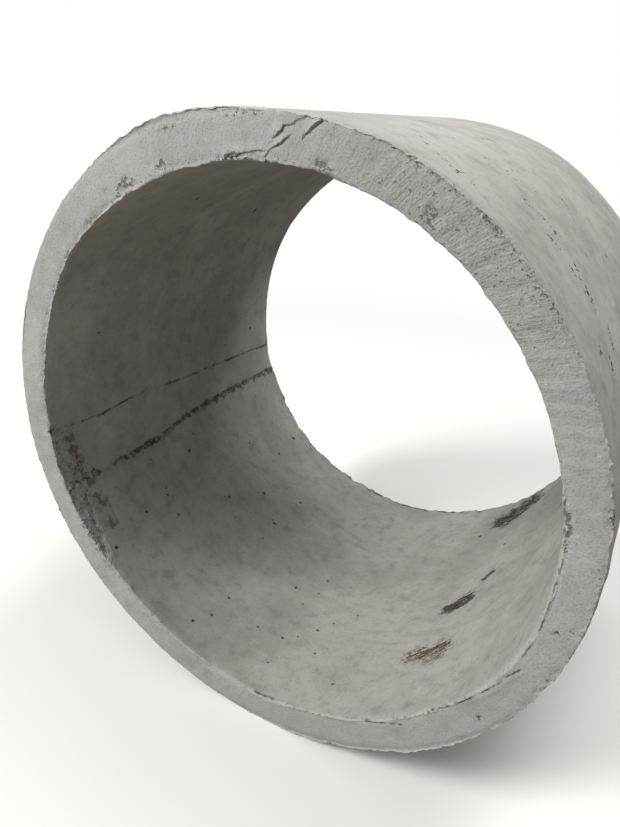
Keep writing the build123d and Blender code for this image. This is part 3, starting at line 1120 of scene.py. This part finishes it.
    dullness = add_node(tree, "ShaderNodeMapRange", {
        "Value": patterns["mottles"], "From Min": 0.3, "From Max": 0.7, "To Min": 0.78, "To Max": 0.94,
    }).outputs["Result"]

    # the open pores shade one another, so the paste shines less than dense stone
    surface = add_node(tree, "ShaderNodeBsdfPrincipled", {
        "Base Color": colour, "Roughness": dullness, "Normal": bump, "IOR": 1.5,
        "Specular IOR Level": 0.3}).outputs["BSDF"]
    add_node(tree, "ShaderNodeOutputMaterial", {"Surface": surface})
    return material


class MESH_OT_pipe_ring_add(bpy.types.Operator):
    """Add the worn concrete pipe ring"""

    bl_idname = "mesh.pipe_ring_add"
    bl_label = "Pipe Ring"

    def execute(self, context):
        scene = context.scene
        ring = add_plain_ring(scene.pipe_ring_sizes)
        ring.name = "pipe_ring"
        ring.data.name = "pipe_ring"
        shape_by_hand(ring, scene.pipe_wear_sizes)
        crumble(ring, scene.pipe_wear_sizes)
        keep_inside_frame(ring)
        open_pockets(ring, scene.pipe_wear_sizes)
        mark_for_concrete(ring)
        bpy.ops.object.select_all(action="DESELECT")
        ring.select_set(True)
        context.view_layer.objects.active = ring
        bpy.ops.object.shade_smooth_by_angle(angle=math.radians(40))
        ring.data.materials.clear()
        ring.data.materials.append(cast_concrete(scene.pipe_concrete_colours))
        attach(ring, "root")
        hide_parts("pipe")
        return {"FINISHED"}


def pale_floor():
    """Pale matt floor that turns as white as the room away from the ring."""
    material = bpy.data.materials.new("pale_floor")
    tree = empty_tree(material)
    # less light is thrown back on the ring than the camera's white floor would give
    for_the_ring = linear("8f8c86")
    for_the_camera = linear("eceae6")
    place = add_node(tree, "ShaderNodeTexCoord").outputs["Object"]
    away = add_node(tree, "ShaderNodeVectorMath", {0: place}, operation="LENGTH").outputs["Value"]
    seen = add_node(tree, "ShaderNodeLightPath").outputs["Is Camera Ray"]
    whiter = add_node(tree, "ShaderNodeMapRange", {
        "Value": away, "From Min": 1.2, "From Max": 4.0,
    }, interpolation_type="SMOOTHSTEP").outputs["Result"]
    share = add_node(tree, "ShaderNodeMath", {0: whiter, 1: seen}, operation="MULTIPLY").outputs[0]
    pale = add_node(tree, "ShaderNodeMix", {
        "Factor": seen, 6: for_the_ring, 7: for_the_camera}, data_type="RGBA").outputs[2]
    matt = add_node(tree, "ShaderNodeBsdfDiffuse", {"Color": pale}).outputs[0]
    white = add_node(tree, "ShaderNodeEmission", {"Color": (1, 1, 1, 1), "Strength": 1.0}).outputs[0]
    mixed = add_node(tree, "ShaderNodeMixShader", {0: share, 1: matt, 2: white}).outputs[0]
    add_node(tree, "ShaderNodeOutputMaterial", {"Surface": mixed})
    return material


def add_lamp(name, place, size, power):
    """Adds a soft square light that points at the middle of the ring."""
    bpy.ops.object.light_add(type="AREA", location=place)
    lamp = bpy.context.active_object
    lamp.name = name
    lamp.data.size = size
    lamp.data.energy = power
    aim = Vector((0, 0, axis_height)) - Vector(place)
    lamp.rotation_euler = aim.to_track_quat("-Z", "Y").to_euler()


class SCENE_OT_pipe_stage_add(bpy.types.Operator):
    """Add the floor, the soft lights and the camera"""

    bl_idname = "scene.pipe_stage_add"
    bl_label = "Stage"

    def execute(self, context):
        stage = context.scene.pipe_stage
        bpy.ops.object.select_all(action="DESELECT")
        bpy.ops.mesh.primitive_circle_add(
            vertices=96, radius=stage.floor_radius, fill_type="NGON", location=(0, 0, 0))
        floor = context.active_object
        floor.name = "floor"
        floor.data.materials.append(pale_floor())

        for name, place, size, power in lamps:
            add_lamp(name, place, size, power)

        world = bpy.data.worlds.new("soft_room")
        context.scene.world = world
        tree = empty_tree(world)
        seen = add_node(tree, "ShaderNodeLightPath").outputs["Is Camera Ray"]
        strength = add_node(tree, "ShaderNodeMapRange", {
            "Value": seen, "To Min": stage.room_light, "To Max": 1.0}).outputs["Result"]
        sky = add_node(tree, "ShaderNodeBackground", {
            "Color": (1, 1, 1, 1), "Strength": strength}).outputs[0]
        add_node(tree, "ShaderNodeOutputWorld", {"Surface": sky})
        context.scene.view_settings.view_transform = "Standard"

        bpy.ops.object.camera_add(location=stage.camera_place)
        camera = context.active_object
        camera.name = "camera"
        camera.data.sensor_width = 36
        camera.data.lens = stage.focal_pixels / PHOTO_HEIGHT * camera.data.sensor_width
        aim = Vector(stage.camera_aim) - Vector(stage.camera_place)
        roll = Quaternion((0, 0, 1), stage.camera_roll)
        camera.rotation_euler = (aim.to_track_quat("-Z", "Y") @ roll).to_euler()
        context.scene.camera = camera
        return {"FINISHED"}


class VIEW3D_PT_concrete_pipe(bpy.types.Panel):
    """Lists the parts of the scene"""

    bl_label = "Concrete Pipe"
    bl_space_type = "VIEW_3D"
    bl_region_type = "UI"
    bl_category = "Concrete Pipe"

    def draw(self, context):
        layout = self.layout
        layout.operator("mesh.pipe_ring_add")
        layout.operator("scene.pipe_stage_add")


scene_settings = {
    "pipe_ring_sizes": PipeRingSizes,
    "pipe_wear_sizes": PipeWearSizes,
    "pipe_concrete_colours": PipeConcreteColours,
    "pipe_stage": PipeStageSizes,
}
classes = (
    *scene_settings.values(),
    MESH_OT_pipe_ring_add,
    SCENE_OT_pipe_stage_add,
    VIEW3D_PT_concrete_pipe,
)


def register():
    for shown in classes:
        bpy.utils.register_class(shown)
    for name, settings in scene_settings.items():
        setattr(bpy.types.Scene, name, bpy.props.PointerProperty(type=settings))


def unregister():
    for name in scene_settings:
        delattr(bpy.types.Scene, name)
    for shown in reversed(classes):
        bpy.utils.unregister_class(shown)


def main():
    register()
    bpy.ops.scene.pipe_stage_add()
    bpy.ops.mesh.pipe_ring_add()


if __name__ == "__main__":
    main()
